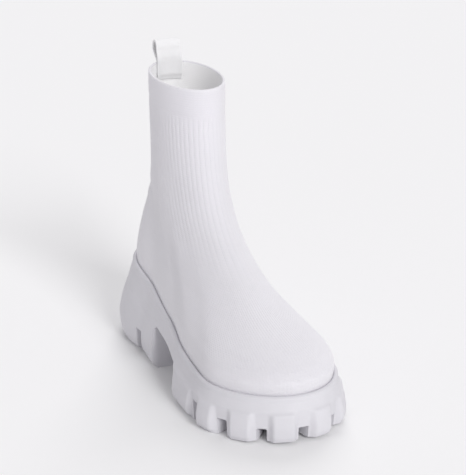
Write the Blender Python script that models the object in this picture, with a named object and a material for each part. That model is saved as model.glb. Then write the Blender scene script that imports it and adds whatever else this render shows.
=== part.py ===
"""Right ankle boot: a ribbed knit sock upper set into the cup of a chunky lugged sole.

The boot points along +X and stands on Z = 0, with its outer side at -Y and its inner side at +Y.
X = 0 is the middle of the sole's length. All sizes are in metres.
"""

import math
from collections import namedtuple

import bmesh
import bpy
from mathutils import Vector

# Driving dimensions
SOLE_LENGTH = 0.2922
HEEL_OVERHANG = 0.0180  # sole behind the upper's heel
TOE_OVERHANG = 0.0102  # sole ahead of the upper's toe
BALL_HALF_WIDTH = 0.0485  # half of the upper's width at the ball
COLLAR_BACK_HEIGHT = 0.2300
COLLAR_FRONT_HEIGHT = 0.2250
UPPER_WALL = 0.0024  # knit and lining together
FIT_GAP = 0.0003  # air left between pieces that touch
CUP_DEPTH = 0.0060  # how far the upper stands down into the sole
INSOLE_THICKNESS = 0.0040
TOE_SPRING = 0.0035  # lift of the sole's tip off the floor
SPRING_START_X = 0.0850  # where that lift starts

HEEL_X = -SOLE_LENGTH / 2 + HEEL_OVERHANG
TOE_X = SOLE_LENGTH / 2 - TOE_OVERHANG
FOOT_LENGTH = TOE_X - HEEL_X
OUTER, INNER = -1, 1  # sides of the boot, as signs of Y

# How finely the round forms are faceted
UPPER_STEPS = 28
SOLE_STEPS = 40
RINGS_PER_SECTION = 2
SHARP_ANGLE = math.radians(40)  # edges over this are shaded as corners

# Plan outline of the foot where the upper meets the sole. Each row is a share of the foot's length
# from the heel, with the fullness of the outer and the inner side, as shares of the ball's half width.
# Fullness times the height of a half circle over the whole length gives the half width.
Outline = namedtuple("Outline", "share outer inner")
FOOT_OUTLINE = (
    Outline(0.00, 1.22, 1.22),
    Outline(0.12, 1.12, 1.12),
    Outline(0.30, 0.84, 0.78),
    Outline(0.46, 0.83, 0.70),
    Outline(0.62, 0.98, 0.90),
    Outline(0.72, 1.10, 1.08),
    Outline(0.85, 1.36, 1.38),
    Outline(1.00, 1.48, 1.54),
)

# Sideways bend of the foot's middle line: a right foot turns its toe inwards, to +Y.
Bend = namedtuple("Bend", "share y")
FOOT_BEND = (
    Bend(0.00, 0.0000),
    Bend(0.30, -0.0005),
    Bend(0.55, -0.0015),
    Bend(0.75, -0.0010),
    Bend(1.00, 0.0030),
)

# Height of the line where the upper meets the sole's rim, from heel to toe.
Rim = namedtuple("Rim", "share z")
RIM_LINE = (
    Rim(0.00, 0.0715),
    Rim(0.12, 0.0690),
    Rim(0.30, 0.0590),
    Rim(0.45, 0.0490),
    Rim(0.60, 0.0410),
    Rim(0.75, 0.0362),
    Rim(0.90, 0.0350),
    Rim(1.00, 0.0355),
)

# Sections of the upper, from the rim of the sole to the collar. Each is a closed ring that runs from a
# point on the back of the boot to a point on its front: back_x and front_x are measured from the heel
# end of the rim line. ball and heel are half widths as shares of the ball's, ridge is how much the ring
# narrows towards its front, leg blends the foot's outline into the leg's oval, and sag is how much of
# the rim line's own curve the ring keeps.
Section = namedtuple("Section", "back_x back_z front_x front_z ball heel ridge leg sag")
UPPER_SECTIONS = (
    Section(0.0000, RIM_LINE[0].z, FOOT_LENGTH, RIM_LINE[-1].z, 1.000, 1.000, 0.00, 0.00, 1.00),
    Section(-0.0006, 0.0790, 0.2645, 0.0435, 1.010, 1.000, 0.00, 0.00, 1.00),
    Section(0.0002, 0.0870, 0.2610, 0.0510, 0.980, 0.975, 0.02, 0.00, 0.90),
    Section(0.0018, 0.0950, 0.2500, 0.0575, 0.920, 0.940, 0.08, 0.02, 0.75),
    Section(0.0045, 0.1040, 0.2310, 0.0638, 0.845, 0.890, 0.16, 0.06, 0.55),
    Section(0.0080, 0.1130, 0.2060, 0.0720, 0.770, 0.840, 0.26, 0.14, 0.35),
    Section(0.0122, 0.1220, 0.1790, 0.0850, 0.710, 0.780, 0.32, 0.28, 0.20),
    Section(0.0148, 0.1310, 0.1530, 0.1010, 0.655, 0.710, 0.32, 0.50, 0.10),
    Section(0.0153, 0.1440, 0.1310, 0.1200, 0.610, 0.640, 0.24, 0.75, 0.00),
    Section(0.0155, 0.1610, 0.1160, 0.1415, 0.575, 0.590, 0.12, 1.00, 0.00),
    Section(0.0153, 0.1820, 0.1070, 0.1685, 0.565, 0.570, 0.04, 1.00, 0.00),
    Section(0.0147, 0.2080, 0.1030, 0.1985, 0.565, 0.570, 0.00, 1.00, 0.00),
    Section(0.0147, COLLAR_BACK_HEIGHT, 0.1020, COLLAR_FRONT_HEIGHT, 0.570, 0.570, 0.00, 1.00, 0.00),
)
COLLAR = UPPER_SECTIONS[-1]
COLLAR_LEVEL = len(UPPER_SECTIONS) - 1
BALL_START, BALL_RUN = 0.1, 0.6  # shares of a ring over which heel's width turns into ball's
RIDGE_START, RIDGE_RUN = 0.4, 0.6  # shares of a ring over which it narrows

# The hem is a folded edge, so the wall steps out where it starts. Levels count rows of the sections.
HEM_LEVEL = COLLAR_LEVEL - 0.75
HEM_EASE = 0.03
HEM_STEP = 0.0006
ROLL = 0.35 * UPPER_WALL  # how far the collar's edge rounds up

# Side wall of the sole, from the cup's edge to the floor. share is the part of the rim's height that a
# row keeps and rise is added to it; side, toe and heel are how far it stands out from the upper.
Wall = namedtuple("Wall", "name share rise side toe heel")
SOLE_WALL = (
    Wall("rim", 1.00, 0.0000, FIT_GAP, FIT_GAP, FIT_GAP),
    Wall("bead_crest", 1.00, 0.0010, 0.0016, 0.0016, 0.0016),
    Wall("bead_side", 1.00, -0.0010, 0.0036, 0.0038, 0.0036),
    Wall("bead_foot", 1.00, -0.0040, 0.0036, 0.0040, 0.0040),
    Wall("wall", 0.68, 0.0000, 0.0064, 0.0064, 0.0100),
    Wall("ledge", 0.64, 0.0000, 0.0084, 0.0084, 0.0114),
    Wall("flank", 0.46, 0.0000, 0.0100, 0.0094, 0.0156),
    Wall("lug", 0.28, 0.0000, 0.0110, TOE_OVERHANG, HEEL_OVERHANG),
    Wall("skirt", 0.12, 0.0010, 0.0106, TOE_OVERHANG, 0.0166),
    Wall("edge", 0.00, 0.0025, 0.0085, 0.0100, 0.0124),
    Wall("tread", 0.00, 0.0000, 0.0058, 0.0090, 0.0088),
)
HEEL_SHARE = 0.28  # stretch of the foot that takes the heel's outset
TOE_SHARE = 0.25  # stretch that takes the toe's

# Arch cut-out under the waist, as a side view outline: x is measured from the back end of the sole.
Corner = namedtuple("Corner", "x z")
CUT_CLEARANCE = 0.0120  # cutters run past the faces they open by this much
ARCH_CUT = (
    Corner(0.1210, -CUT_CLEARANCE),
    Corner(0.1205, 0.0200),
    Corner(0.1195, 0.0340),
    Corner(0.1225, 0.0362),
    Corner(0.1590, 0.0304),
    Corner(0.1740, 0.0280),
    Corner(0.1805, 0.0240),
    Corner(0.1830, 0.0150),
    Corner(0.1830, -CUT_CLEARANCE),
)

# Gaps between the lugs. Round the toe they are evenly spaced along the edge: each is a shallow recess
# up the side wall over a channel that runs in under the tread. The heel has one channel on each side.
LUG_PITCH = 0.0340
TOE_GAPS = range(-3, 4)
HEEL_GAP_RUN = 0.2420  # from the tip of the toe, along the edge
RECESS_WIDTH = 0.0150
RECESS_DEPTH = 0.0052
RECESS_TOP = 0.0270
RECESS_TOP_DEPTH = 0.0036
CHANNEL_WIDTH = 0.0068
CHANNEL_HEIGHTS = (0.0095, 0.0095, 0.0125, 0.0165)  # from the toe's middle to the waist
CHANNEL_REACH = 0.0260
HEEL_CHANNEL_WIDTH = 0.0070
HEEL_CHANNEL_HEIGHT = 0.0195

# Pull loop: two layers of webbing sewn together inside the back of the collar and open above it.
LOOP_WIDTH = 0.0220
LOOP_RISE = 0.0190  # above the collar
LOOP_TAIL = 0.0140  # below the collar
LOOP_STRAP = 0.0015
LOOP_GAP = 0.0070
LOOP_START = 0.0018  # where the layers part, above the collar
LOOP_LEAN = 0.0040  # backwards lean of its top
LOOP_FLAT = 0.8  # share of the collar's curve that it loses
LOOP_EASE = 0.0120  # height over which it loses that and leans
LOOP_STEPS = 8
LOOP_SLICES = 8

# Surfaces
Surface = namedtuple("Surface", "name colour roughness")
KNIT = Surface("knit", (0.86, 0.86, 0.87, 1.0), 0.9)
FOAM = Surface("moulded_foam", (0.84, 0.84, 0.84, 1.0), 0.6)
FOOTBED = Surface("footbed", (0.78, 0.78, 0.79, 1.0), 0.95)
WEBBING = Surface("webbing", (0.83, 0.83, 0.84, 1.0), 0.85)


def mix(first, second, part):
    return first + (second - first) * part


def smooth_step(value):
    """Ease from 0 to 1 with level ends."""
    value = min(1.0, max(0.0, value))
    return value * value * (3 - 2 * value)


def slopes(places, values):
    """Slope at each row that keeps a curve from swinging past the rows."""
    rates = [
        (values[i + 1] - values[i]) / (places[i + 1] - places[i]) for i in range(len(places) - 1)
    ]
    inner = [2 * a * b / (a + b) if a * b > 0 else 0.0 for a, b in zip(rates, rates[1:])]
    return [rates[0]] + inner + [rates[-1]]


def curve_at(places, values, place):
    """Smooth curve through values at increasing places."""
    place = min(places[-1], max(places[0], place))
    i = max(k for k in range(len(places) - 1) if places[k] <= place)
    span = places[i + 1] - places[i]
    t = (place - places[i]) / span
    rate = slopes(places, values)
    return (
        (1 + 2 * t) * (1 - t) ** 2 * values[i]
        + t * (1 - t) ** 2 * span * rate[i]
        + t * t * (3 - 2 * t) * values[i + 1]
        + t * t * (t - 1) * span * rate[i + 1]
    )


def along_foot(rows, column, share):
    """Curve through one column of a table whose rows are placed by their share of the foot."""
    return curve_at([row.share for row in rows], [getattr(row, column) for row in rows], share)


def foot_share(x):
    return (x - HEEL_X) / FOOT_LENGTH


def rim_height(x):
    return along_foot(RIM_LINE, "z", foot_share(x))


def middle_y(x):
    return along_foot(FOOT_BEND, "y", foot_share(x))


def section_at(level):
    """Section of the upper at a level, between the table's rows too."""
    levels = range(len(UPPER_SECTIONS))
    return Section(*(curve_at(levels, column, level) for column in zip(*UPPER_SECTIONS)))


def ring_turns(steps):
    """Side, share of the length and half circle's height of each point of a ring.

    The points run from the back along the outer side to the front, and back along the inner side.
    """
    for i in range(2 * steps):
        turn = math.pi * i / steps
        yield OUTER if i <= steps else INNER, (1 - math.cos(turn)) / 2, abs(math.sin(turn))


def upper_ring(level, steps):
    """Closed ring of points on the outside of the upper."""
    row = section_at(level)
    points = []
    for side, share, height in ring_turns(steps):
        x = HEEL_X + mix(row.back_x, row.front_x, share)
        rim_sag = along_foot(RIM_LINE, "z", share) - mix(RIM_LINE[0].z, RIM_LINE[-1].z, share)
        z = mix(row.back_z, row.front_z, share) + row.sag * rim_sag
        wide = mix(row.heel, row.ball, smooth_step((share - BALL_START) / BALL_RUN))
        narrow = 1 - row.ridge * smooth_step((share - RIDGE_START) / RIDGE_RUN)
        foot = along_foot(FOOT_OUTLINE, "outer" if side == OUTER else "inner", share)
        half = BALL_HALF_WIDTH * height * wide * narrow * mix(foot, 1.0, row.leg)
        points.append((x, middle_y(x) + side * half, z))
    return points


def plan_normals(points):
    """Outward directions of a closed ring, seen from above."""
    normals = []
    for i in range(len(points)):
        before = points[i - 1]
        after = points[(i + 1) % len(points)]
        normals.append(Vector((after[1] - before[1], before[0] - after[0], 0)).normalized())
    return normals


def outset_ring(points, outsets, heights):
    """Ring moved outwards in plan, point by point, and set to given heights."""
    return [
        (x + normal.x * out, y + normal.y * out, z)
        for (x, y, _), normal, out, z in zip(points, plan_normals(points), outsets, heights)
    ]


def grid_normals(rings):
    """Outward directions over a stack of rings."""
    normals = []
    for r, ring in enumerate(rings):
        below = rings[max(0, r - 1)]
        above = rings[min(len(rings) - 1, r + 1)]
        row = []
        for i in range(len(ring)):
            run = Vector(ring[(i + 1) % len(ring)]) - Vector(ring[i - 1])
            rise = Vector(above[i]) - Vector(below[i])
            row.append(run.cross(rise).normalized())
        normals.append(row)
    return normals


def swollen(rings, thicknesses):
    """Stack of rings moved along its outward directions, each ring by its own thickness."""
    return [
        [tuple(Vector(point) + normal * thickness) for point, normal in zip(ring, row)]
        for ring, row, thickness in zip(rings, grid_normals(rings), thicknesses)
    ]


def lofted(bm, rings, closed):
    """Skin of quads through a list of rings. A closed stack joins its last ring to its first."""
    made = [[bm.verts.new(point) for point in ring] for ring in rings]
    pairs = list(zip(made, made[1:]))
    if closed:
        pairs.append((made[-1], made[0]))
    for low, high in pairs:
        for i in range(len(low)):
            k = (i + 1) % len(low)
            bm.faces.new((low[i], low[k], high[k], high[i]))
    return made


def capped(bm, ring):
    """Lid over a ring, in strips straight across from the outer side to the inner."""
    for i in range(len(ring) // 2):
        corners = [ring[i], ring[i + 1], ring[-i - 1], ring[-i]]
        bm.faces.new(dict.fromkeys(corners))


def finished(name, bm, material=None):
    """Object from a closed mesh, smooth shaded, with its faces turned outwards."""
    bmesh.ops.recalc_face_normals(bm, faces=bm.faces)
    mesh = bpy.data.meshes.new(name)
    bm.to_mesh(mesh)
    bm.free()
    if material:
        mesh.materials.append(material)
    mesh.shade_smooth()
    mesh.set_sharp_from_angle(angle=SHARP_ANGLE)
    piece = bpy.data.objects.new(name, mesh)
    bpy.context.scene.collection.objects.link(piece)
    return piece


def painted(surface):
    material = bpy.data.materials.new(surface.name)
    material.use_nodes = True
    shader = material.node_tree.nodes["Principled BSDF"]
    shader.inputs["Base Color"].default_value = surface.colour
    shader.inputs["Roughness"].default_value = surface.roughness
    return material


def cut_away(piece, cutter):
    """Take a hidden cutter out of a piece."""
    cutter.hide_render = True
    cutter.display_type = "WIRE"
    cut = piece.modifiers.new(cutter.name, "BOOLEAN")
    cut.operation = "DIFFERENCE"
    cut.solver = "EXACT"
    cut.object = cutter


def upper_outside():
    """Rings of the upper's outer face, from its edge in the cup to the collar."""
    levels = [i / RINGS_PER_SECTION for i in range(COLLAR_LEVEL * RINGS_PER_SECTION + 1)]
    levels = sorted(levels + [HEM_LEVEL - HEM_EASE, HEM_LEVEL + HEM_EASE])
    rings = [upper_ring(level, UPPER_STEPS) for level in levels]
    rings = swollen(rings, [HEM_STEP if level > HEM_LEVEL else 0.0 for level in levels])
    tucked = [(x, y, rim_height(x) - CUP_DEPTH + FIT_GAP) for x, y, _ in rings[0]]
    return [tucked] + rings


def build_upper():
    outside = upper_outside()
    inside = swollen(outside, [-UPPER_WALL] * len(outside))
    rolled = [
        tuple((Vector(a) + Vector(b)) / 2 + Vector((0, 0, ROLL)))
        for a, b in zip(outside[-1], inside[-1])
    ]
    bm = bmesh.new()
    lofted(bm, outside + [rolled] + inside[::-1], closed=True)
    return finished("upper", bm, painted(KNIT))


def wall_outset(row, share):
    toe = smooth_step((share - 1 + TOE_SHARE) / TOE_SHARE)
    heel = smooth_step((HEEL_SHARE - share) / HEEL_SHARE)
    return row.side + (row.toe - row.side) * toe + (row.heel - row.side) * heel


def tread_lift(x):
    """Height of the tread over the floor: flat, then sprung up to the toe."""
    run = max(0.0, x - SPRING_START_X) / (SOLE_LENGTH / 2 - SPRING_START_X)
    return TOE_SPRING * run * run


def sole_ring(row):
    base = upper_ring(0, SOLE_STEPS)
    outsets = [wall_outset(row, foot_share(x)) for x, _, _ in base]
    heights = [
        row.share * rim_height(x) + (1 - row.share) * tread_lift(x) + row.rise for x, _, _ in base
    ]
    return outset_ring(base, outsets, heights)


def edge_place(run):
    """Point on the sole's edge, and the way straight in from it, at a run along the edge.

    The run starts at the tip of the toe and counts up along the inner side and down along the outer.
    """
    edge = sole_ring(next(row for row in SOLE_WALL if row.name == "lug"))
    normals = plan_normals(edge)
    step = 1 if run > 0 else -1
    here = SOLE_STEPS
    left = abs(run)
    while True:
        start = Vector((edge[here][0], edge[here][1], 0))
        after = (here + step) % len(edge)
        stretch = Vector((edge[after][0], edge[after][1], 0)) - start
        if left <= stretch.length:
            part = left / stretch.length
            return start + stretch * part, -normals[here].lerp(normals[after], part).normalized()
        left -= stretch.length
        here = after


def wedge(bm, run, slices):
    """Block set into the sole's edge, between level slices with a height, a reach and a width."""
    place, inward = edge_place(run)
    across = Vector((-inward.y, inward.x, 0))
    corners = []
    for height, reach, width in slices:
        for inset in (-CUT_CLEARANCE, reach):
            for side in (-width / 2, width / 2):
                corner = place + inward * inset + across * side
                corners.append(bm.verts.new((corner.x, corner.y, height)))
    bmesh.ops.convex_hull(bm, input=corners)


def recess_cutter():
    bm = bmesh.new()
    for i in TOE_GAPS:
        low = (-CUT_CLEARANCE, RECESS_DEPTH, RECESS_WIDTH)
        high = (RECESS_TOP, RECESS_TOP_DEPTH, RECESS_WIDTH)
        wedge(bm, LUG_PITCH * i, (low, high))
    return finished("recess_cutter", bm)


def channel_cutter():
    gaps = [(LUG_PITCH * i, CHANNEL_WIDTH, CHANNEL_HEIGHTS[abs(i)]) for i in TOE_GAPS]
    gaps += [(side * HEEL_GAP_RUN, HEEL_CHANNEL_WIDTH, HEEL_CHANNEL_HEIGHT) for side in (OUTER, INNER)]
    bm = bmesh.new()
    for run, width, height in gaps:
        low = (-CUT_CLEARANCE, CHANNEL_REACH, width)
        high = (height, CHANNEL_REACH, width)
        wedge(bm, run, (low, high))
    return finished("channel_cutter", bm)


def arch_cutter():
    bm = bmesh.new()
    outline = [bm.verts.new((c.x - SOLE_LENGTH / 2, -SOLE_LENGTH / 2, c.z)) for c in ARCH_CUT]
    grown = bmesh.ops.extrude_face_region(bm, geom=[bm.faces.new(outline)])["geom"]
    far = [item for item in grown if isinstance(item, bmesh.types.BMVert)]
    bmesh.ops.translate(bm, verts=far, vec=(0, SOLE_LENGTH, 0))
    return finished("arch_cutter", bm)


def build_sole():
    rings = [sole_ring(row) for row in SOLE_WALL]
    cup_floor = [(x, y, z - CUP_DEPTH) for x, y, z in rings[0]]
    bm = bmesh.new()
    made = lofted(bm, [cup_floor] + rings, closed=False)
    capped(bm, made[0])
    capped(bm, made[-1])
    sole = finished("sole", bm, painted(FOAM))
    for cutter in (arch_cutter(), recess_cutter(), channel_cutter()):
        cut_away(sole, cutter)
    return sole


def build_insole():
    base = upper_ring(0, UPPER_STEPS)
    inset = [-UPPER_WALL - FIT_GAP] * len(base)
    floor = [rim_height(x) - CUP_DEPTH + FIT_GAP for x, _, _ in base]
    low = outset_ring(base, inset, floor)
    high = [(x, y, z + INSOLE_THICKNESS) for x, y, z in low]
    bm = bmesh.new()
    made = lofted(bm, [low, high], closed=False)
    capped(bm, made[0])
    capped(bm, made[-1])
    return finished("insole", bm, painted(FOOTBED))


def loop_eye():
    """Side view of the pull loop's opening: a drop, pointed below and round above, as x and z."""
    top = LOOP_RISE - LOOP_STRAP
    widest = (2 / 3) * math.sqrt(1 / 3)
    front = []
    for i in range(LOOP_STEPS + 1):
        share = math.sin(math.pi / 2 * i / LOOP_STEPS)
        half = LOOP_GAP / 2 * share * math.sqrt(1 - share) / widest
        front.append((half, mix(LOOP_START, top, share)))
    return front + [(-x, z) for x, z in front[-2:0:-1]]


def loop_outside(eye):
    """Side view of the pull loop's outline: the opening's, one strap further out, over a double tail."""
    ring = []
    for i in range(1, len(eye)):
        before = eye[i - 1]
        after = eye[(i + 1) % len(eye)]
        out = Vector((after[1] - before[1], before[0] - after[0])).normalized() * LOOP_STRAP
        ring.append((eye[i][0] + out.x, eye[i][1] + out.y))
    front = [(LOOP_STRAP, -LOOP_TAIL), (LOOP_STRAP, 0.0)]
    back = [(-LOOP_STRAP, 0.0), (-LOOP_STRAP, -LOOP_TAIL)]
    return front + ring + back


def loop_seat(y, z):
    """Where the loop's middle layer lies behind the collar's inner face, at a height over the collar."""
    inset = UPPER_WALL - HEM_STEP
    half_length = (COLLAR.front_x - COLLAR.back_x) / 2 - inset
    half_width = COLLAR.ball * BALL_HALF_WIDTH - inset
    bow = half_length * (1 - math.sqrt(1 - (y / half_width) ** 2))
    rise = smooth_step(z / LOOP_EASE)
    seat = HEEL_X + COLLAR.back_x + inset + FIT_GAP + LOOP_STRAP
    return seat + bow * (1 - LOOP_FLAT * rise) - LOOP_LEAN * rise


def build_pull_loop():
    bm = bmesh.new()
    eye = loop_eye()
    edges = []
    for outline in (loop_outside(eye), eye):
        ring = [bm.verts.new((x, -LOOP_WIDTH / 2, z)) for x, z in outline]
        edges += [bm.edges.new((ring[i - 1], ring[i])) for i in range(len(ring))]
    filled = bmesh.ops.triangle_fill(bm, edges=edges, use_beauty=True)["geom"]
    side = [item for item in filled if isinstance(item, bmesh.types.BMFace)]
    grown = bmesh.ops.extrude_face_region(bm, geom=side)["geom"]
    far = [item for item in grown if isinstance(item, bmesh.types.BMVert)]
    bmesh.ops.translate(bm, verts=far, vec=(0, LOOP_WIDTH, 0))
    across = [edge for edge in bm.edges if edge.verts[0].co.y != edge.verts[1].co.y]
    bmesh.ops.subdivide_edges(bm, edges=across, cuts=LOOP_SLICES - 1, use_grid_fill=True)
    for vert in bm.verts:
        vert.co.x += loop_seat(vert.co.y, vert.co.z)
        vert.co.z += COLLAR_BACK_HEIGHT
    return finished("pull_loop", bm, painted(WEBBING))


def main():
    for old in list(bpy.data.objects):
        bpy.data.objects.remove(old)
    build_sole()
    build_upper()
    build_insole()
    build_pull_loop()


main()
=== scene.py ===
# %% [markdown]
# # A knit ankle boot on a lugged sole
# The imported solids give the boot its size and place. Around them this file makes what the eye sees: a
# ribbed sock with a plain hem, a moulded sole with rounded lugs, a soft footbed and a webbing loop.
# Everything is in metres. The toe points along +X, the outer side is -Y and the floor is Z = 0.

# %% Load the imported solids
import math
from collections import namedtuple

import bmesh
import bpy
import numpy as np
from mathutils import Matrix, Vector


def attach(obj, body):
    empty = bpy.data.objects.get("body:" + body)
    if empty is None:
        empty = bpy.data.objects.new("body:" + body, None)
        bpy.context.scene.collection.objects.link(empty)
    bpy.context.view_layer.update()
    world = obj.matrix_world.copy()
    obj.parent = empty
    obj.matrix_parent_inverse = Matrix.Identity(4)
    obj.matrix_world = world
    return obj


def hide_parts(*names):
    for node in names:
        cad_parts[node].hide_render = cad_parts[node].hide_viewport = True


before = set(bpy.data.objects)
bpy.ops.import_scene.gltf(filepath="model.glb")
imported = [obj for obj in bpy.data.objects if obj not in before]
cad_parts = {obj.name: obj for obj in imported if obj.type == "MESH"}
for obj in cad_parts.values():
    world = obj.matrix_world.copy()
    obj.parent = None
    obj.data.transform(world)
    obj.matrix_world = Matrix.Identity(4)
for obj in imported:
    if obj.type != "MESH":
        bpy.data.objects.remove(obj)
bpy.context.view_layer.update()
print("solids:", ", ".join(sorted(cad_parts)))

# %% [markdown]
# ## The foot's own measures
# A boot is built round a last, so every piece starts from the same few lines: the outline of the foot
# seen from above, the bend of its middle line, and the height of the line where the upper meets the sole.
# They are short tables, and a smooth curve through a table's rows gives every place in between. A curve
# that never swings past its rows keeps the form free of lumps.

# %% Lines of the last
SOLE_LENGTH = 0.2922
HEEL_OVERHANG = 0.0180
TOE_OVERHANG = 0.0102
BALL_HALF_WIDTH = 0.0485
HEEL_X = -SOLE_LENGTH / 2 + HEEL_OVERHANG
TOE_X = SOLE_LENGTH / 2 - TOE_OVERHANG
FOOT_LENGTH = TOE_X - HEEL_X
OUTER, INNER = -1, 1  # sides of the boot, as signs of Y
FIT_GAP = 0.0003  # air between pieces that touch

Outline = namedtuple("Outline", "share outer inner")
FOOT_OUTLINE = (
    Outline(0.00, 1.22, 1.22),
    Outline(0.12, 1.12, 1.12),
    Outline(0.30, 0.84, 0.78),
    Outline(0.46, 0.83, 0.70),
    Outline(0.62, 0.98, 0.90),
    Outline(0.72, 1.10, 1.08),
    Outline(0.85, 1.36, 1.38),
    Outline(1.00, 1.48, 1.54),
)
Bend = namedtuple("Bend", "share y")
FOOT_BEND = (
    Bend(0.00, 0.0000),
    Bend(0.30, -0.0005),
    Bend(0.55, -0.0015),
    Bend(0.75, -0.0010),
    Bend(1.00, 0.0030),
)
Rim = namedtuple("Rim", "share z")
RIM_LINE = (
    Rim(0.00, 0.0715),
    Rim(0.12, 0.0690),
    Rim(0.30, 0.0590),
    Rim(0.45, 0.0490),
    Rim(0.60, 0.0410),
    Rim(0.75, 0.0362),
    Rim(0.90, 0.0350),
    Rim(1.00, 0.0355),
)


def mix(first, second, part):
    return first + (second - first) * part


def ease(value):
    """From 0 to 1 with level ends."""
    value = np.clip(value, 0.0, 1.0)
    return value * value * (3 - 2 * value)


def curve(places, values, at):
    """Smooth curve through values at rising places, which never swings past them."""
    places = np.asarray(places, float)
    values = np.asarray(values, float)
    rates = np.diff(values) / np.diff(places)
    before, after = rates[:-1], rates[1:]
    together = before * after > 0
    inner = np.where(together, 2 * before * after / np.where(together, before + after, 1), 0)
    slope = np.concatenate((rates[:1], inner, rates[-1:]))
    at = np.clip(at, places[0], places[-1])
    i = np.clip(np.searchsorted(places, at, side="right") - 1, 0, len(places) - 2)
    span = places[i + 1] - places[i]
    t = (at - places[i]) / span
    return (
        (1 + 2 * t) * (1 - t) ** 2 * values[i]
        + t * (1 - t) ** 2 * span * slope[i]
        + t * t * (3 - 2 * t) * values[i + 1]
        + t * t * (t - 1) * span * slope[i + 1]
    )


def along(rows, column, share):
    """One column of a table, at shares of the foot's length."""
    return curve([row.share for row in rows], [getattr(row, column) for row in rows], share)


def rim_height(x):
    return along(RIM_LINE, "z", (x - HEEL_X) / FOOT_LENGTH)


def middle_y(x):
    return along(FOOT_BEND, "y", (x - HEEL_X) / FOOT_LENGTH)


print("foot length mm:", round(FOOT_LENGTH * 1000, 1))

# %% [markdown]
# ## Sections of the upper
# The knit is drawn over the last like a sock. A stack of closed rings follows it, from the rim of the sole
# to the collar. Each row says where its ring meets the back and the front of the boot and how wide it
# is, how much it narrows to a ridge over the instep, how far the foot's outline has turned into the
# oval of the leg, and how much of the rim's own dip it keeps.

# %% Sections of the upper
COLLAR_BACK_HEIGHT = 0.2300
COLLAR_FRONT_HEIGHT = 0.2250
BALL_START, BALL_RUN = 0.1, 0.6  # shares of a ring over which heel's width turns into ball's
RIDGE_START, RIDGE_RUN = 0.4, 0.6  # shares of a ring over which it narrows

Section = namedtuple("Section", "back_x back_z front_x front_z ball heel ridge leg sag")
UPPER_SECTIONS = (
    Section(0.0000, RIM_LINE[0].z, FOOT_LENGTH, RIM_LINE[-1].z, 1.000, 1.000, 0.00, 0.00, 1.00),
    Section(-0.0006, 0.0790, 0.2645, 0.0435, 1.010, 1.000, 0.00, 0.00, 1.00),
    Section(0.0002, 0.0870, 0.2610, 0.0510, 0.980, 0.975, 0.02, 0.00, 0.90),
    Section(0.0018, 0.0950, 0.2500, 0.0575, 0.920, 0.940, 0.08, 0.02, 0.75),
    Section(0.0045, 0.1040, 0.2310, 0.0638, 0.845, 0.890, 0.16, 0.06, 0.55),
    Section(0.0080, 0.1130, 0.2060, 0.0720, 0.770, 0.840, 0.26, 0.14, 0.35),
    Section(0.0122, 0.1220, 0.1790, 0.0850, 0.710, 0.780, 0.32, 0.28, 0.20),
    Section(0.0148, 0.1310, 0.1530, 0.1010, 0.655, 0.710, 0.32, 0.50, 0.10),
    Section(0.0153, 0.1440, 0.1310, 0.1200, 0.610, 0.640, 0.24, 0.75, 0.00),
    Section(0.0155, 0.1610, 0.1160, 0.1415, 0.575, 0.590, 0.12, 1.00, 0.00),
    Section(0.0153, 0.1820, 0.1070, 0.1685, 0.565, 0.570, 0.04, 1.00, 0.00),
    Section(0.0147, 0.2080, 0.1030, 0.1985, 0.565, 0.570, 0.00, 1.00, 0.00),
    Section(0.0147, COLLAR_BACK_HEIGHT, 0.1020, COLLAR_FRONT_HEIGHT, 0.570, 0.570, 0.00, 1.00, 0.00),
)
COLLAR = UPPER_SECTIONS[-1]
COLLAR_LEVEL = len(UPPER_SECTIONS) - 1


def upper_points(levels, turns):
    """Points on the smooth outside of the upper, a row for each level and a column for each turn."""
    rows = range(len(UPPER_SECTIONS))
    levels = np.asarray(levels, float)[:, None]
    part = Section(*(curve(rows, column, levels) for column in zip(*UPPER_SECTIONS)))
    share = (1 - np.cos(turns)) / 2
    side = np.where(turns <= math.pi, OUTER, INNER)
    x = HEEL_X + mix(part.back_x, part.front_x, share)
    dip = along(RIM_LINE, "z", share) - mix(RIM_LINE[0].z, RIM_LINE[-1].z, share)
    z = mix(part.back_z, part.front_z, share) + part.sag * dip
    wide = mix(part.heel, part.ball, ease((share - BALL_START) / BALL_RUN))
    narrow = 1 - part.ridge * ease((share - RIDGE_START) / RIDGE_RUN)
    outer = along(FOOT_OUTLINE, "outer", share)
    foot = np.where(side == OUTER, outer, along(FOOT_OUTLINE, "inner", share))
    half = BALL_HALF_WIDTH * np.abs(np.sin(turns)) * wide * narrow * mix(foot, 1.0, part.leg)
    return np.stack((x, middle_y(x) + side * half, z), axis=-1)


FINE_STEPS = 720  # steps round a ring when its length is measured


def even_turns(levels, columns):
    """Turns that space the columns evenly along every ring, from the back round the outer side."""
    fine = np.linspace(0, math.tau, FINE_STEPS + 1)
    middle = len(fine) // 2
    points = upper_points(levels, np.tile(fine, (len(levels), 1)))
    steps = np.linalg.norm(np.diff(points, axis=1), axis=2)
    turns = []
    for row in steps:
        halves = []
        for first, last in ((0, middle), (middle, len(fine) - 1)):
            run = np.concatenate(([0.0], np.cumsum(row[first:last])))
            spots = np.linspace(0, run[-1], columns // 2 + 1)[:-1]
            halves.append(np.interp(spots, run, fine[first : last + 1]))
        turns.append(np.concatenate(halves))
    return np.array(turns)


def outward(rings):
    """Directions straight out of a stack of closed rings."""
    run = np.roll(rings, -1, axis=1) - np.roll(rings, 1, axis=1)
    normal = np.cross(run, np.gradient(rings, axis=0))
    return normal / np.linalg.norm(normal, axis=2, keepdims=True)


def out_of_ring(ring):
    """Level directions straight out of one closed ring."""
    run = np.roll(ring, -1, axis=0) - np.roll(ring, 1, axis=0)
    normals = np.stack((run[:, 1], -run[:, 0]), axis=1)
    return normals / np.linalg.norm(normals, axis=1, keepdims=True)


print("collar mm:", round((COLLAR.front_x - COLLAR.back_x) * 1000, 1), "long")

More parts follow.
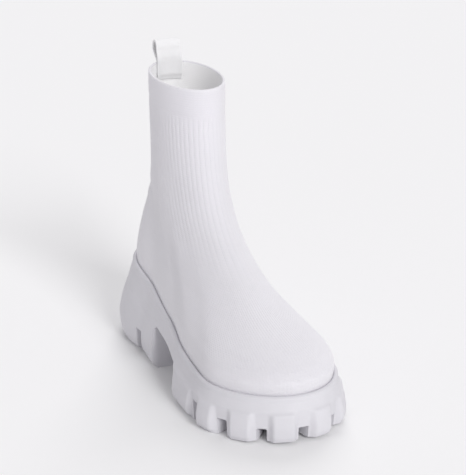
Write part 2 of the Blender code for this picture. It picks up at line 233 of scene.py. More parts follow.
# %% [markdown]
# ## Rolling a flat grid into a piece
# Knit, sole and footbed are all closed skins round the same foot. They could be sculpted from a block, but a
# skin that is rolled from rings keeps exact sizes and clean rows. A grid operator makes the flat sheet of
# quads with its own map, each corner moves to its place on the skin, and merging the doubles sews the
# edges. The map is kept from the flat sheet, so a knit pattern later follows the fabric.

# %% A helper that rolls a grid
SEWN_WITHIN = 1e-6  # corners that lie this close become one


def rolled_grid(name, places, map_runs):
    """Object from rows of closed rings of places. map_runs says how far along the map each row lies."""
    rows, columns = places.shape[0] - 1, places.shape[1]
    bm = bmesh.new()
    cloth_map = bm.loops.layers.uv.new("cloth")
    bmesh.ops.create_grid(bm, x_segments=columns, y_segments=rows, size=0.5, calc_uvs=True)
    for face in bm.faces:
        for loop in face.loops:
            place = loop[cloth_map].uv
            place.y = map_runs[round(place.y * rows)]
    for vert in bm.verts:
        column = round((vert.co.x + 0.5) * columns) % columns
        vert.co = places[round((vert.co.y + 0.5) * rows), column]
    bmesh.ops.remove_doubles(bm, verts=bm.verts, dist=SEWN_WITHIN)
    bmesh.ops.recalc_face_normals(bm, faces=bm.faces)
    return finished(name, bm)


def finished(name, bm):
    """Object of a bmesh, smooth shaded, at the origin."""
    mesh = bpy.data.meshes.new(name)
    bm.to_mesh(mesh)
    bm.free()
    mesh.shade_smooth()
    piece = bpy.data.objects.new(name, mesh)
    bpy.context.scene.collection.objects.link(piece)
    print(name, "faces:", len(mesh.polygons))
    return piece


# %% [markdown]
# ## The ribbed sock
# The leg is a rib knit: rounded ribs about 4 mm apart with narrow grooves between them. Over the instep
# each rib opens into four finer ones, because the same stitches have a wider foot to cover. A bump map could
# draw the ribs, but they would vanish at the edge of the leg, so they are real relief in the mesh. The last
# stretch is folded over into a plain hem that stands a little proud, and the wall goes over the collar and
# down the inside, so the sock is one closed skin with a true thickness.

# %% Measures of the knit
UPPER_WALL = 0.0024
CUP_DEPTH = 0.0060
LEG_RIBS = 56
FOOT_RIBS = 4 * LEG_RIBS
COLUMNS = 3 * FOOT_RIBS
ROWS_PER_SECTION = 8
LEG_RELIEF = 0.0004
FOOT_RELIEF = 0.00012
RIB_MIDDLE = 0.6  # share of a rib's height that lies below the smooth skin
RIB_SPLIT, RIB_SPLIT_RUN = 5.5, 3.0  # levels over which a rib opens into four
RIM_FADE = 0.35  # levels over which the ribs rise out of the sole's rim
HEM_LEVEL = COLLAR_LEVEL - 0.75
HEM_EASE = 0.08  # levels to either side over which the hem steps out
HEM_RINGS = 6
HEM_STEP = 0.00035
HEM_FADE = 0.25  # levels over which the ribs run out below the hem
COLLAR_TURNS = 6
LINING_STEP = 0.5  # levels between the rings of the inside
print("columns of the knit:", COLUMNS)

# %% Outside of the sock
outside_levels = np.arange(COLLAR_LEVEL * ROWS_PER_SECTION + 1) / ROWS_PER_SECTION
hem_levels = HEM_LEVEL + HEM_EASE * np.linspace(-1, 1, HEM_RINGS)
outside_levels = np.array(sorted(set(outside_levels) | set(hem_levels)))
knit_turns = even_turns(outside_levels, COLUMNS)
smooth_skin = upper_points(outside_levels, knit_turns)
tucked = smooth_skin[0].copy()
tucked[:, 2] = rim_height(tucked[:, 0]) - CUP_DEPTH + FIT_GAP
smooth_skin = np.concatenate((tucked[None], smooth_skin))
skin_levels = np.concatenate(([0.0], outside_levels))
skin_normals = outward(smooth_skin)
collar_steps = smooth_skin[-1] - np.roll(smooth_skin[-1], 1, axis=0)
collar_girth = float(np.linalg.norm(collar_steps, axis=1).sum())
print("rib pitch at the collar mm:", round(collar_girth / LEG_RIBS * 1000, 2))


# %% Ribs and hem
def rib_profile(ribs):
    """Height of a row of ribs round the sock, from 0 in a groove to 1 on a crest."""
    return np.sqrt(np.abs(np.sin(math.pi * ribs * np.arange(COLUMNS) / COLUMNS)))


leg_part = ease((skin_levels - RIB_SPLIT) / RIB_SPLIT_RUN)[:, None]
ribbed = ease(skin_levels / RIM_FADE) * ease((HEM_LEVEL - skin_levels) / HEM_FADE)
leg_relief = LEG_RELIEF * (rib_profile(LEG_RIBS) - RIB_MIDDLE) * leg_part
foot_relief = FOOT_RELIEF * (rib_profile(FOOT_RIBS) - RIB_MIDDLE) * (1 - leg_part)
hem_rise = HEM_STEP * ease((skin_levels - HEM_LEVEL) / (2 * HEM_EASE) + 0.5)
relief = (leg_relief + foot_relief) * ribbed[:, None] + hem_rise[:, None]
print("relief of ribs and hem mm:", round(float(np.ptp(relief)) * 1000, 2))

# %% [markdown]
# ## Creases placed one by one
# The stiffened heel ends above the ankle, and the soft leg folds in slightly over it, all round the back. In
# front the knit gathers in two shallow bends where the foot flexes. Both are troughs of a millimetre or
# less, each with its level, its reach along the rings and its width.

# %% Creases
Crease = namedtuple("Crease", "level width depth share reach")
CREASES = (
    Crease(7.60, 0.35, 0.0009, 0.10, 0.34),
    Crease(7.10, 0.40, -0.0004, 0.10, 0.30),
    Crease(6.30, 0.50, 0.0005, 0.95, 0.35),
    Crease(7.50, 0.60, 0.0004, 0.95, 0.35),
)
knit_shares = (1 - np.cos(np.concatenate((knit_turns[:1], knit_turns)))) / 2
for crease in CREASES:
    along_leg = np.exp(-(((skin_levels - crease.level) / crease.width) ** 2))[:, None]
    round_leg = ease(1 - np.abs(knit_shares - crease.share) / crease.reach)
    relief = relief - crease.depth * along_leg * round_leg
outside = smooth_skin + skin_normals * relief[:, :, None]
print("creases:", len(CREASES))

# %% Collar, inside and the finished sock
hem_edge = smooth_skin[-1] + skin_normals[-1] * HEM_STEP
inner_edge = hem_edge - skin_normals[-1] * UPPER_WALL
angles = np.linspace(0, math.pi, COLLAR_TURNS + 1)[1:]
over_collar = [
    mix(inner_edge, hem_edge, (1 + math.cos(angle)) / 2)
    + np.array((0, 0, UPPER_WALL / 2 * math.sin(angle)))
    for angle in angles
]
inside = smooth_skin + skin_normals * (hem_rise - UPPER_WALL)[:, None, None]
lining_rows = [np.abs(skin_levels - level).argmin() for level in np.arange(0, COLLAR_LEVEL, LINING_STEP)]
lining_rows[0] = 1  # row 0 is the edge that is tucked into the cup
lining = [inside[row] for row in sorted(lining_rows, reverse=True)] + [inside[0]]
sock_places = np.concatenate((outside, over_collar, lining, outside[:1]))
sock_runs = np.concatenate(
    ([0.0], np.cumsum(np.linalg.norm(np.diff(sock_places[:, COLUMNS // 4], axis=0), axis=1)))
)
lining_run = float(sock_runs[len(outside) + COLLAR_TURNS - 1])  # where the inside starts on the map
knit_upper = rolled_grid("knit_upper", sock_places, sock_runs)
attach(knit_upper, "root")
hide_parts("upper")

# %% [markdown]
# ## The moulded sole
# The sole is one foamed moulding: a cup for the upper, a rolled rim, a wall that steps out over a ledge to
# the lugs, and a rounded edge down to the tread. Extruding an outline and bevelling it would give the same
# edge everywhere, but this wall differs at toe, sides and heel. A table gives the wall's rows from the rim to
# the floor: each has its height, as a share of the rim's height and a rise, and how far it stands out from
# the foot at the sides, the toe and the heel. The curve through them rounds every corner as a mould does.

# %% Profile of the wall
RIM_GAP = 0.0001  # the knit is pressed against the rim
Wall = namedtuple("Wall", "name share rise side toe heel")
SOLE_WALL = (
    Wall("rim", 1.00, 0.0000, RIM_GAP, RIM_GAP, RIM_GAP),
    Wall("bead_crest", 1.00, 0.0008, 0.0016, 0.0016, 0.0016),
    Wall("bead_side", 1.00, -0.0010, 0.0036, 0.0038, 0.0036),
    Wall("bead_foot", 1.00, -0.0040, 0.0036, 0.0040, 0.0040),
    Wall("wall", 0.70, 0.0000, 0.0062, 0.0062, 0.0098),
    Wall("ledge", 0.62, 0.0000, 0.0085, 0.0085, 0.0118),
    Wall("flank", 0.46, 0.0000, 0.0100, 0.0094, 0.0156),
    Wall("lug", 0.28, 0.0000, 0.0110, TOE_OVERHANG, HEEL_OVERHANG),
    Wall("skirt", 0.12, 0.0010, 0.0106, TOE_OVERHANG, 0.0166),
    Wall("edge", 0.00, 0.0025, 0.0085, 0.0100, 0.0124),
    Wall("tread", 0.00, 0.0000, 0.0058, 0.0090, 0.0088),
)
WALL_STEPS = (3, 3, 4, 6, 4, 7, 7, 6, 5, 4)  # rings between the rows
HEEL_SHARE = 0.28  # part of the length over which the sides turn into the heel
TOE_SHARE = 0.25
TOE_SPRING = 0.0035
SPRING_START_X = 0.0850
SOLE_COLUMNS = 900
print("rings of the wall:", sum(WALL_STEPS) + 1)


# %% Wall round the foot
def tread_lift(x):
    """How far the tread rises off the floor towards the toe."""
    run = np.clip(x - SPRING_START_X, 0, None) / (SOLE_LENGTH / 2 - SPRING_START_X)
    return TOE_SPRING * run * run


def wall_column(column, place):
    return curve(range(len(SOLE_WALL)), [getattr(row, column) for row in SOLE_WALL], place)


def wall_outset(place, share):
    """How far the wall stands out from the foot, at places down the wall and shares of the length."""
    toe = ease((share - 1 + TOE_SHARE) / TOE_SHARE)
    heel = ease((HEEL_SHARE - share) / HEEL_SHARE)
    side = wall_column("side", place)
    return side + (wall_column("toe", place) - side) * toe + (wall_column("heel", place) - side) * heel


wall_places = np.concatenate(
    [i + np.arange(steps) / steps for i, steps in enumerate(WALL_STEPS)] + [[len(WALL_STEPS)]]
)[:, None]
outer_turns = even_turns([0.0], SOLE_COLUMNS)[0, : SOLE_COLUMNS // 2]
sole_turns = np.concatenate((outer_turns, [math.pi], math.tau - outer_turns[:0:-1]))
sole_base = upper_points([0.0], sole_turns[None])[0]
sole_normals = out_of_ring(sole_base)
sole_shares = (sole_base[:, 0] - HEEL_X) / FOOT_LENGTH
wall_outs = wall_outset(wall_places, sole_shares)
wall_shares = wall_column("share", wall_places)
wall_rises = wall_column("rise", wall_places)
wall_heights = wall_shares * rim_height(sole_base[:, 0]) + wall_rises
wall_sides = sole_base[:, 1] + sole_normals[:, 1] * wall_outs
print("width over the wall mm:", round(float(np.ptp(wall_sides)) * 1000, 1))

# %% [markdown]
# ## Lugs
# Round the toe the edge is cut into lugs: between two of them the wall falls back to a shallow recess, and a
# narrow channel runs in under the tread. The heel has one channel on each side. Pushing the wall's own
# points back, with an eased edge, keeps the corners as soft as a moulding's.

# %% Measures of recesses and channels
LUG_PITCH = 0.0340
TOE_GAPS = range(-3, 4)
HEEL_GAP_RUN = 0.2420  # along the edge, from the toe's middle
RECESS_WIDTH = 0.0150
RECESS_DEPTH = 0.0052
RECESS_TOP = 0.0270
RECESS_TOP_DEPTH = 0.0036
CHANNEL_WIDTH = 0.0068
CHANNEL_HEIGHTS = (0.0095, 0.0095, 0.0125, 0.0165)  # from the toe's middle to the waist
CHANNEL_REACH = 0.0260
HEEL_CHANNEL_WIDTH = 0.0070
HEEL_CHANNEL_HEIGHT = 0.0195
LUG_ROUND = 0.0060
CHANNEL_ROUND = 0.0010
print("gaps between lugs:", len(TOE_GAPS))

# %% Cut them into the wall
lug_place = [row.name for row in SOLE_WALL].index("lug")
lug_outs = wall_outset(np.array([[float(lug_place)]]), sole_shares)[0]
lug_edge = sole_base[:, :2] + sole_normals * lug_outs[:, None]
lug_steps = np.linalg.norm(lug_edge - np.roll(lug_edge, 1, axis=0), axis=1)
toe_column = SOLE_COLUMNS // 2
edge_runs = np.cumsum(lug_steps) - np.cumsum(lug_steps)[toe_column]


def gap_mask(run, width, soft):
    """1 between two lugs and 0 on them, with eased sides."""
    return ease((width / 2 + soft / 2 - np.abs(edge_runs - run)) / soft)


recess_reach = mix(RECESS_DEPTH, RECESS_TOP_DEPTH, np.clip(wall_heights / RECESS_TOP, 0, 1))
recessed = np.minimum(wall_outs, lug_outs - recess_reach)
channels = [(LUG_PITCH * i, CHANNEL_WIDTH, CHANNEL_HEIGHTS[abs(i)]) for i in TOE_GAPS]
channels += [(side * HEEL_GAP_RUN, HEEL_CHANNEL_WIDTH, HEEL_CHANNEL_HEIGHT) for side in (OUTER, INNER)]
for i in TOE_GAPS:
    wall_outs = mix(wall_outs, recessed, gap_mask(LUG_PITCH * i, RECESS_WIDTH, LUG_ROUND))
for run, width, height in channels:
    under = ease((height + CHANNEL_ROUND / 2 - wall_heights) / CHANNEL_ROUND)
    cut = under * gap_mask(run, width, CHANNEL_ROUND)
    wall_outs = mix(wall_outs, lug_outs - CHANNEL_REACH, cut)
print("edge of the sole mm:", round(float(lug_steps.sum()) * 1000))

# %% Skin of the sole
SPINE_HEEL_X, SPINE_TOE_X = -0.0950, 0.0850  # ends of the line where the tread's rings meet
FLOOR_STEPS = 8
CHANNEL_END = 0.0030  # from the end of a channel to the ring that the tread closes in from
CHANNEL_STEPS = 4

wall_xy = sole_base[None, :, :2] + sole_normals[None] * wall_outs[:, :, None]
lifts = (1 - wall_shares) * tread_lift(wall_xy[:, :, 0])
wall_points = np.concatenate((wall_xy, (wall_heights + lifts)[:, :, None]), axis=2)
cup_edge = wall_points[0].copy()
cup_edge[:, 2] = rim_height(sole_base[:, 0]) - CUP_DEPTH
cup_spine = sole_base.copy()
cup_spine[:, 1] = middle_y(sole_base[:, 0])
cup_spine[:, 2] = cup_edge[:, 2]
tread_spine = np.zeros_like(sole_base)
tread_spine[:, 0] = mix(SPINE_HEEL_X, SPINE_TOE_X, sole_shares)
tread_spine[:, 1] = middle_y(tread_spine[:, 0])
tread_ring = np.zeros_like(sole_base)
tread_ring[:, :2] = sole_base[:, :2] + sole_normals * (lug_outs - CHANNEL_REACH - CHANNEL_END)[:, None]
inwards = np.linspace(0, 1, FLOOR_STEPS + 1)
cup_floor = [mix(cup_spine, cup_edge, part) for part in inwards]
to_ring = np.linspace(0, 1, CHANNEL_STEPS + 1)[1:]
tread = [mix(wall_points[-1], tread_ring, part) for part in to_ring]
tread += [mix(tread_ring, tread_spine, part) for part in inwards[1:]]
for ring in tread:
    ring[:, 2] = tread_lift(ring[:, 0])
sole_places = np.concatenate((cup_floor, wall_points, tread))
moulded_sole = rolled_grid("moulded_sole", sole_places, np.linspace(0, 1, len(sole_places)))

# %% [markdown]
# ## The arch
# Under the waist the moulding is cut right through from side to side. The grid's rows run round the sole and
# can't follow this cut, so a Boolean makes it: a short list of corners gives the outline in side view, and a
# block of that outline is extruded across the sole and taken out of it.

# %% Cut the arch
Corner = namedtuple("Corner", "x z")
CUT_CLEARANCE = 0.0120
ARCH_CUT = (  # x is counted from the back end of the sole
    Corner(0.1210, -CUT_CLEARANCE),
    Corner(0.1205, 0.0200),
    Corner(0.1195, 0.0340),
    Corner(0.1225, 0.0362),
    Corner(0.1590, 0.0304),
    Corner(0.1740, 0.0280),
    Corner(0.1805, 0.0240),
    Corner(0.1830, 0.0150),
    Corner(0.1830, -CUT_CLEARANCE),
)
SHARP_ANGLE = math.radians(38)


def extruded(bm, faces, by):
    """Pull faces out into a block."""
    grown = bmesh.ops.extrude_face_region(bm, geom=faces)["geom"]
    far = [item for item in grown if isinstance(item, bmesh.types.BMVert)]
    bmesh.ops.translate(bm, verts=far, vec=by)


def baked(piece):
    """Make a piece's modifiers part of its mesh."""
    graph = bpy.context.evaluated_depsgraph_get()
    mesh = bpy.data.meshes.new_from_object(piece.evaluated_get(graph))
    piece.modifiers.clear()
    old = piece.data
    piece.data = mesh
    mesh.name = old.name
    bpy.data.meshes.remove(old)


block = bmesh.new()
corners = [block.verts.new((c.x - SOLE_LENGTH / 2, -SOLE_LENGTH / 2, c.z)) for c in ARCH_CUT]
extruded(block, [block.faces.new(corners)], (0, SOLE_LENGTH, 0))
bmesh.ops.recalc_face_normals(block, faces=block.faces)
arch_block = finished("arch_block", block)
cut = moulded_sole.modifiers.new("arch", "BOOLEAN")
cut.operation = "DIFFERENCE"
cut.solver = "EXACT"
cut.object = arch_block
baked(moulded_sole)
bpy.data.objects.remove(arch_block)
moulded_sole.data.shade_smooth()
moulded_sole.data.set_sharp_from_angle(angle=SHARP_ANGLE)
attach(moulded_sole, "root")
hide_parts("sole")
print("sole faces after the cut:", len(moulded_sole.data.polygons))

# %% [markdown]
# ## The footbed
# Inside lies a plain footbed with a soft rounded edge. A Bevel modifier could round it, but only its upper
# edge is round, so it is rolled from a grid like the sole, from the middle of its underside round the edge to
# the middle of its top.

# %% Edge of the footbed
INSOLE_THICKNESS = 0.0040
FOOTBED_ROUND = 0.0012
FOOTBED_COLUMNS = 240
FOOTBED_STEPS = 10
EDGE_TURNS = 5

bed_turns = np.linspace(0, math.tau, FOOTBED_COLUMNS, endpoint=False)
bed_base = upper_points([0.0], bed_turns[None])[0]
bed_normals = np.zeros_like(bed_base)
bed_normals[:, :2] = out_of_ring(bed_base)
bed_edge = bed_base - bed_normals * (UPPER_WALL + FIT_GAP)
bed_edge[:, 2] = rim_height(bed_base[:, 0]) - CUP_DEPTH + FIT_GAP
bed_spine = bed_base.copy()
bed_spine[:, 1] = middle_y(bed_base[:, 0])
bed_spine[:, 2] = bed_edge[:, 2]
print("footbed mm:", round(float(np.ptp(bed_edge[:, 0])) * 1000, 1), "long")

# %% Skin of the footbed
bed_up = np.array((0, 0, INSOLE_THICKNESS))
bed_inwards = np.linspace(0, 1, FOOTBED_STEPS + 1)
bed_rounds = [
    bed_edge
    + bed_up
    - bed_normals * FOOTBED_ROUND * (1 - math.cos(angle))
    - np.array((0, 0, FOOTBED_ROUND * (1 - math.sin(angle))))
    for angle in np.linspace(0, math.pi / 2, EDGE_TURNS)
]
bed_under = [mix(bed_spine, bed_edge, part) for part in bed_inwards]
bed_top = [mix(bed_rounds[-1], bed_spine + bed_up, part) for part in bed_inwards[1:]]
bed_places = np.concatenate((bed_under, bed_rounds, bed_top))
footbed = rolled_grid("footbed", bed_places, np.linspace(0, 1, len(bed_places)))
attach(footbed, "root")
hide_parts("insole")

# %% [markdown]
# ## The pull loop
# A strip of webbing is folded double, sewn inside the back of the collar, and stands open above it in a drop
# shape. A curve with a flat section could sweep it, but the strip also bows with the collar. So a flat grid
# becomes the strip: its length follows the fold, its width lies across the heel, and a Solidify modifier
# gives it the thickness of the webbing.

# %% Measures of the loop
LOOP_WIDTH = 0.0220
LOOP_RISE = 0.0190
LOOP_TAIL = 0.0140
TAIL_LAP = 0.0095  # where the back layer ends and the front one bends over it to the knit
TAIL_BEND = 0.0122  # where the front layer has reached the knit
TAIL_BEND_BACK = 0.0005
TAIL_END_BACK = 0.0008
LOOP_STRAP = 0.0015
WEBBING_PART = 0.92  # part of the strap's thickness that the webbing fills
LOOP_GAP = 0.0070
LOOP_START = 0.0018  # height over the collar at which the layers part
LOOP_LEAN = 0.0040
LOOP_FLAT = 0.8  # part of the collar's bow that the strip loses as it rises
LOOP_EASE = 0.0120
LOOP_LENGTH_STEPS = 72
LOOP_WIDTH_STEPS = 20
LOOP_EDGE = 0.0003
EYE_STEPS = 40
EYE_TRIM = 2  # points left off both ends of the eye, where the layers meet
print("loop mm:", round(LOOP_RISE * 1000, 1), "over the collar")

# %% Fold of the strip
eye_shares = np.sin(np.linspace(0, math.pi / 2, EYE_STEPS))
drop = eye_shares * np.sqrt(1 - eye_shares)
widest_drop = 2 / 3 * math.sqrt(1 / 3)
eye_half = LOOP_GAP / 2 * drop / widest_drop
eye_z = mix(LOOP_START, LOOP_RISE - LOOP_STRAP, eye_shares)
eye = np.concatenate((np.stack((eye_half, eye_z), 1), np.stack((-eye_half, eye_z), 1)[-2::-1]))
eye_run = np.gradient(eye, axis=0)
eye_out = np.stack((eye_run[:, 1], -eye_run[:, 0]), 1) / np.linalg.norm(eye_run, axis=1)[:, None]
half_strap = LOOP_STRAP / 2
around_eye = (eye + eye_out * half_strap)[EYE_TRIM:-EYE_TRIM]
front_tail = (
    (-TAIL_END_BACK, -LOOP_TAIL),
    (-TAIL_BEND_BACK, -TAIL_BEND),
    (half_strap, -TAIL_LAP),
    (half_strap, 0.0),
)
back_tail = ((-half_strap, 0.0), (-half_strap, -TAIL_LAP))
fold = np.concatenate((front_tail, around_eye, back_tail))
fold_run = np.concatenate(([0.0], np.cumsum(np.linalg.norm(np.diff(fold, axis=0), axis=1))))
print("loop strip mm:", round(float(fold_run[-1]) * 1000, 1))


# %% Pull loop
def loop_seat(y, z):
    """Where the loop's middle lies behind the collar's inner face, at a height over the collar."""
    inset = UPPER_WALL - HEM_STEP
    half_length = (COLLAR.front_x - COLLAR.back_x) / 2 - inset
    half_width = COLLAR.ball * BALL_HALF_WIDTH - inset
    bow = half_length * (1 - math.sqrt(1 - (y / half_width) ** 2))
    rise = float(ease(z / LOOP_EASE))
    seat = HEEL_X + COLLAR.back_x + inset + FIT_GAP + LOOP_STRAP
    return seat + bow * (1 - LOOP_FLAT * rise) - LOOP_LEAN * rise


strip = bmesh.new()
strip.loops.layers.uv.new("cloth")
bmesh.ops.create_grid(
    strip, x_segments=LOOP_LENGTH_STEPS, y_segments=LOOP_WIDTH_STEPS, size=0.5, calc_uvs=True
)
for vert in strip.verts:
    run = (vert.co.x + 0.5) * fold_run[-1]
    y = vert.co.y * (LOOP_WIDTH - 2 * LOOP_EDGE)
    x = np.interp(run, fold_run, fold[:, 0])
    z = np.interp(run, fold_run, fold[:, 1])
    vert.co = (x + loop_seat(y, z), y, z + COLLAR_BACK_HEIGHT)
webbing_loop = finished("webbing_loop", strip)
thick = webbing_loop.modifiers.new("webbing", "SOLIDIFY")
thick.thickness = LOOP_STRAP * WEBBING_PART
thick.offset = 0.0
rounded = webbing_loop.modifiers.new("edges", "BEVEL")
rounded.width = LOOP_EDGE
rounded.segments = 2
rounded.limit_method = "ANGLE"
baked(webbing_loop)
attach(webbing_loop, "root")
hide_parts("pull_loop")
print("loop faces:", len(webbing_loop.data.polygons))

# %% [markdown]
# ## Finishes
# All of the boot is white, so the surfaces tell the pieces apart. The cloth pieces share one effect, the soft
# fuzz of fibres. Hair would show it too, but far too heavily for a fuzz this short, so it is a group with its
# own scale that puts out a tint, a roughness and a height.

# %% Helpers for nodes
MIX_SOCKETS = (0, 6, 7)  # factor and both colours of a Mix node
MIX_RESULT = 2


def feed(tree, socket, value):
    """Set a value on a socket, or link another socket to it."""
    if isinstance(value, bpy.types.NodeSocket):
        tree.links.new(value, socket)
    else:
        socket.default_value = value


def set_sockets(tree, node, **inputs):
    """Feed a node's sockets by name, with _ for a space."""
    for name, value in inputs.items():
        feed(tree, node.inputs[name.replace("_", " ")], value)


def linked(tree, kind, **inputs):
    """New node of a kind, with its sockets fed."""
    node = tree.nodes.new(kind)
    set_sockets(tree, node, **inputs)
    return node


def maths(tree, operation, *values):
    """Result of one sum, each value a number or a socket."""
    node = tree.nodes.new("ShaderNodeMath")
    node.operation = operation
    for socket, value in zip(node.inputs, values):
        feed(tree, socket, value)
    return node.outputs[0]


def mixed(tree, factor, first, second):
    """Colour that goes from the first to the second, each a colour or a socket, by a factor."""
    node = tree.nodes.new("ShaderNodeMix")
    node.data_type = "RGBA"
    for i, value in zip(MIX_SOCKETS, (factor, first, second)):
        feed(tree, node.inputs[i], value)
    return node.outputs[MIX_RESULT]


def effect_group(name, inputs, outputs):
    """Empty node group with named sockets, and the nodes for its two ends."""
    tree = bpy.data.node_groups.new(name, "ShaderNodeTree")
    for label, kind in inputs:
        tree.interface.new_socket(name=label, in_out="INPUT", socket_type=kind)
    for label, kind in outputs:
        tree.interface.new_socket(name=label, in_out="OUTPUT", socket_type=kind)
    return tree, tree.nodes.new("NodeGroupInput"), tree.nodes.new("NodeGroupOutput")


# %% Fibre group
FIBRE_ROUGHNESS = 0.75
FIBRE_ROUGHNESS_RANGE = 0.2

fibres, fibre_in, fibre_out = effect_group(
    "soft_fibres",
    (("Scale", "NodeSocketFloat"), ("Colour", "NodeSocketColor"), ("Shade", "NodeSocketColor")),
    (("Colour", "NodeSocketColor"), ("Roughness", "NodeSocketFloat"), ("Height", "NodeSocketFloat")),
)
spot = fibres.nodes.new("ShaderNodeTexCoord").outputs["Object"]
fuzz = linked(fibres, "ShaderNodeTexNoise", Vector=spot, Scale=fibre_in.outputs["Scale"], Detail=3.0)
cloud = linked(fibres, "ShaderNodeTexNoise", Vector=spot, Scale=22.0, Detail=2.0)
patchy = maths(fibres, "MULTIPLY", fuzz.outputs["Fac"], cloud.outputs["Fac"])
tint = mixed(fibres, patchy, fibre_in.outputs["Colour"], fibre_in.outputs["Shade"])
rough = maths(fibres, "MULTIPLY_ADD", fuzz.outputs["Fac"], FIBRE_ROUGHNESS_RANGE, FIBRE_ROUGHNESS)
set_sockets(fibres, fibre_out, Colour=tint, Roughness=rough, Height=fuzz.outputs["Fac"])
print("group:", fibres.name)

# %% [markdown]
# ## Knit
# Seen close, every rib is a column of small V stitches. Two waves on the knit's own map make them: one runs
# across a stitch column and one runs along it, slanted away from the middle of the column. They are too
# small for the mesh, so they are bump. The inside of the same knit is painted whiter than the outside, as
# painted light for the light that falls into the collar, and the thin knit lets some light through to it,
# which the shader's own subsurface scattering gives.

# %% Knit material
STITCH_COLUMNS = FOOT_RIBS
STITCH_HEIGHT = 0.0017
KNIT_COLOUR = (0.78, 0.768, 0.805, 1.0)
KNIT_SHADE = (0.725, 0.713, 0.75, 1.0)
# painted light: the inside of the knit is painted whiter than the outside, for the light in the collar
INSIDE_PAINTED_LIGHT = (0.95, 0.945, 0.95, 1.0)
LIGHT_THROUGH = 0.6  # share of the light that goes into the thin knit
LIGHT_REACH = 0.0040
KNIT_FUZZ = 0.5  # height of the fibres beside the stitches
STITCH_EDGE = 3.0  # how steeply a stitch column falls off at its sides


def new_material(name, roughness):
    """Material with a plain roughness, until something is linked to that."""
    material = bpy.data.materials.new(name)
    material.use_nodes = True
    shader = material.node_tree.nodes["Principled BSDF"]
    shader.inputs["Roughness"].default_value = roughness
    return material, material.node_tree, shader


def with_fibres(tree, shader, scale, colour, shade):
    """Place the fibre group in a material and let it colour the shader."""
    soft = tree.nodes.new("ShaderNodeGroup")
    soft.node_tree = fibres
    set_sockets(tree, soft, Scale=scale, Colour=colour, Shade=shade)
    set_sockets(tree, shader, Base_Color=soft.outputs["Colour"], Roughness=soft.outputs["Roughness"])
    return soft


def on_cloth(tree):
    """Places on the flat sheet that a cloth piece was rolled from."""
    return linked(tree, "ShaderNodeSeparateXYZ", Vector=tree.nodes.new("ShaderNodeUVMap").outputs["UV"])


def bumped(tree, shader, height, strength, distance):
    """Let a height tilt the shader's normals."""
    bump = linked(tree, "ShaderNodeBump", Height=height, Strength=strength, Distance=distance)
    tree.links.new(bump.outputs["Normal"], shader.inputs["Normal"])


knit, tree, shader = new_material("ribbed_knit", roughness=0.9)
soft = with_fibres(tree, shader, scale=1800.0, colour=KNIT_COLOUR, shade=KNIT_SHADE)
cloth = on_cloth(tree)
column = maths(tree, "FRACT", maths(tree, "MULTIPLY", cloth.outputs["X"], STITCH_COLUMNS))
off_middle = maths(tree, "ABSOLUTE", maths(tree, "SUBTRACT", column, 0.5))
course = maths(tree, "MULTIPLY_ADD", cloth.outputs["Y"], 1 / STITCH_HEIGHT, off_middle)
wave = maths(tree, "SINE", maths(tree, "MULTIPLY", course, math.tau))
stitch = maths(tree, "MULTIPLY_ADD", wave, 0.5, 0.5)
sides = maths(tree, "POWER", maths(tree, "MULTIPLY", off_middle, 2.0), STITCH_EDGE)
stitch = maths(tree, "MULTIPLY", stitch, maths(tree, "SUBTRACT", 1.0, sides))
height = maths(tree, "MULTIPLY_ADD", soft.outputs["Height"], KNIT_FUZZ, stitch)
bumped(tree, shader, height, strength=0.45, distance=0.00018)
# The inside is painted whiter here, as painted light for the light that falls into the collar.
painted_light_mask = maths(tree, "GREATER_THAN", cloth.outputs["Y"], lining_run)
colour = mixed(tree, painted_light_mask, soft.outputs["Colour"], INSIDE_PAINTED_LIGHT)
set_sockets(
    tree,
    shader,
    Base_Color=colour,
    Subsurface_Weight=LIGHT_THROUGH,
    Subsurface_Radius=(1.0, 1.0, 1.0),
    Subsurface_Scale=LIGHT_REACH,
    Sheen_Weight=0.25,
    Sheen_Roughness=0.5,
    Specular_IOR_Level=0.25,
)
knit_upper.data.materials.append(knit)
print("material:", knit.name)

# %% [markdown]
# ## Moulded foam
# A foamed sole comes out of its mould matt, with a fine skin of pores and a faint cloudiness. Two noises make
# them: a fine one for bump and roughness, and a broad one that drifts between two close whites.

# %% Sole material
FOAM_DARK = (0.68, 0.672, 0.705, 1.0)
FOAM_LIGHT = (0.715, 0.707, 0.74, 1.0)
FOAM_ROUGHNESS = 0.45
FOAM_ROUGHNESS_RANGE = 0.25

foam, tree, shader = new_material("moulded_foam_skin", roughness=0.6)
spot = tree.nodes.new("ShaderNodeTexCoord").outputs["Object"]
pores = linked(tree, "ShaderNodeTexNoise", Vector=spot, Scale=1400.0, Detail=2.0)
cloud = linked(tree, "ShaderNodeTexNoise", Vector=spot, Scale=35.0, Detail=3.0)
tone = linked(tree, "ShaderNodeValToRGB", Fac=cloud.outputs["Fac"])
for stop, (place, colour) in zip(tone.color_ramp.elements, ((0.3, FOAM_DARK), (0.7, FOAM_LIGHT))):
    stop.position = place
    stop.color = colour
rough = maths(tree, "MULTIPLY_ADD", pores.outputs["Fac"], FOAM_ROUGHNESS_RANGE, FOAM_ROUGHNESS)
set_sockets(tree, shader, Base_Color=tone.outputs["Color"], Roughness=rough, Specular_IOR_Level=0.4)
bumped(tree, shader, pores.outputs["Fac"], strength=0.25, distance=0.00008)
moulded_sole.data.materials.clear()
moulded_sole.data.materials.append(foam)
print("material:", foam.name)

# %% [markdown]
# ## Footbed and webbing
# The footbed is a brushed textile, so its fibres are coarser. The webbing is a plain weave: two sets of
# threads on the strip's own map, each over the other in turn.

# %% Footbed material
FOOTBED_COLOUR = (0.80, 0.80, 0.81, 1.0)
FOOTBED_SHADE = (0.70, 0.70, 0.71, 1.0)

brushed, tree, shader = new_material("brushed_footbed", roughness=0.95)
soft = with_fibres(tree, shader, scale=900.0, colour=FOOTBED_COLOUR, shade=FOOTBED_SHADE)
bumped(tree, shader, soft.outputs["Height"], strength=0.5, distance=0.0003)
set_sockets(tree, shader, Sheen_Weight=0.3)
footbed.data.materials.append(brushed)
print("material:", brushed.name)

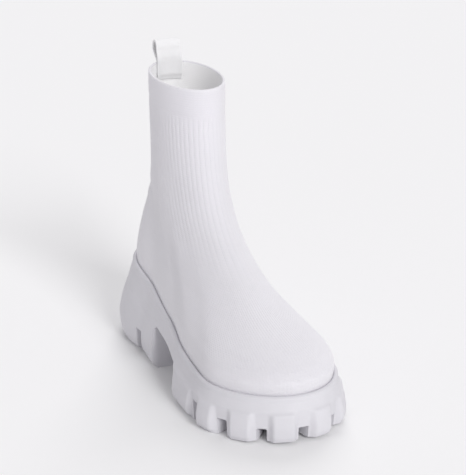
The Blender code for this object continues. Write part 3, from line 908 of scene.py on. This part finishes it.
# %% Webbing material
WEBBING_COLOUR = (0.93, 0.93, 0.935, 1.0)
WEBBING_SHADE = (0.85, 0.85, 0.86, 1.0)
WEBBING_FUZZ = 0.3  # height of the fibres beside the threads
WARP_THREADS = 26
WEFT_THREADS = 70

webbing, tree, shader = new_material("woven_webbing", roughness=0.85)
soft = with_fibres(tree, shader, scale=2500.0, colour=WEBBING_COLOUR, shade=WEBBING_SHADE)
cloth = on_cloth(tree)
weft = maths(tree, "SINE", maths(tree, "MULTIPLY", cloth.outputs["X"], WEFT_THREADS * math.pi))
warp = maths(tree, "SINE", maths(tree, "MULTIPLY", cloth.outputs["Y"], WARP_THREADS * math.pi))
weave = maths(tree, "ABSOLUTE", maths(tree, "MULTIPLY", weft, warp))
height = maths(tree, "MULTIPLY_ADD", soft.outputs["Height"], WEBBING_FUZZ, weave)
bumped(tree, shader, height, strength=0.5, distance=0.0003)
set_sockets(tree, shader, Sheen_Weight=0.2)
webbing_loop.data.materials.clear()
webbing_loop.data.materials.append(webbing)
print("material:", webbing.name)

# %% [markdown]
# ## Floor, light and camera
# The boot stands on a pale seamless floor in soft light. A broad light from the toe's side gives form and a
# faint shadow behind the heel, a weaker one from the back lifts the edges, and the room's own light fills the
# rest. Area lamps could give this too, but sun lamps with a wide angle light floor and boot evenly. The
# camera stands in front of the outer side and looks down a little.

# %% Floor
FLOOR_SIZE = 6.0
FLOOR_COLOUR = (0.93, 0.93, 0.93, 1.0)

floor_mesh = bmesh.new()
bmesh.ops.create_grid(floor_mesh, x_segments=1, y_segments=1, size=FLOOR_SIZE)
floor = finished("floor", floor_mesh)
paper, tree, shader = new_material("floor_paper", roughness=0.9)
set_sockets(tree, shader, Base_Color=FLOOR_COLOUR, Specular_IOR_Level=0.1)
floor.data.materials.append(paper)

# %% Light
ROOM_COLOUR = (0.985, 0.97, 1.0, 1.0)
ROOM_STRENGTH = 0.53

scene = bpy.context.scene
scene.view_settings.view_transform = "Standard"
world = bpy.data.worlds.new("room")
world.use_nodes = True
room = world.node_tree
set_sockets(room, room.nodes["Background"], Color=ROOM_COLOUR, Strength=ROOM_STRENGTH)
scene.world = world


def soft_light(name, towards, strength, spread):
    """Even light from far away, with shadows softened by the spread of its angle."""
    lamp = bpy.data.lights.new(name, "SUN")
    lamp.energy = strength
    lamp.angle = math.radians(spread)
    holder = bpy.data.objects.new(name, lamp)
    holder.rotation_euler = Vector(towards).to_track_quat("Z", "Y").to_euler()
    scene.collection.objects.link(holder)


soft_light("key_light", towards=(0.872, 0.054, 0.485), strength=1.52, spread=22.0)
soft_light("back_light", towards=(-0.656, 0.326, 0.681), strength=0.92, spread=35.0)
print("lamps:", len(bpy.data.lights))

# %% Camera
CAMERA_PLACE = (1.0899, -0.4733, 0.5323)
CAMERA_TARGET = (0.003, 0.008, 0.1130)
CAMERA_LENS = 122.0
SENSOR = 36.0

camera_data = bpy.data.cameras.new("camera")
camera_data.sensor_width = SENSOR
camera_data.lens = CAMERA_LENS
camera = bpy.data.objects.new("camera", camera_data)
camera.location = CAMERA_PLACE
look = Vector(CAMERA_TARGET) - Vector(CAMERA_PLACE)
camera.rotation_euler = look.to_track_quat("-Z", "Y").to_euler()
scene.collection.objects.link(camera)
scene.camera = camera
print("camera to boot m:", round(look.length, 3))
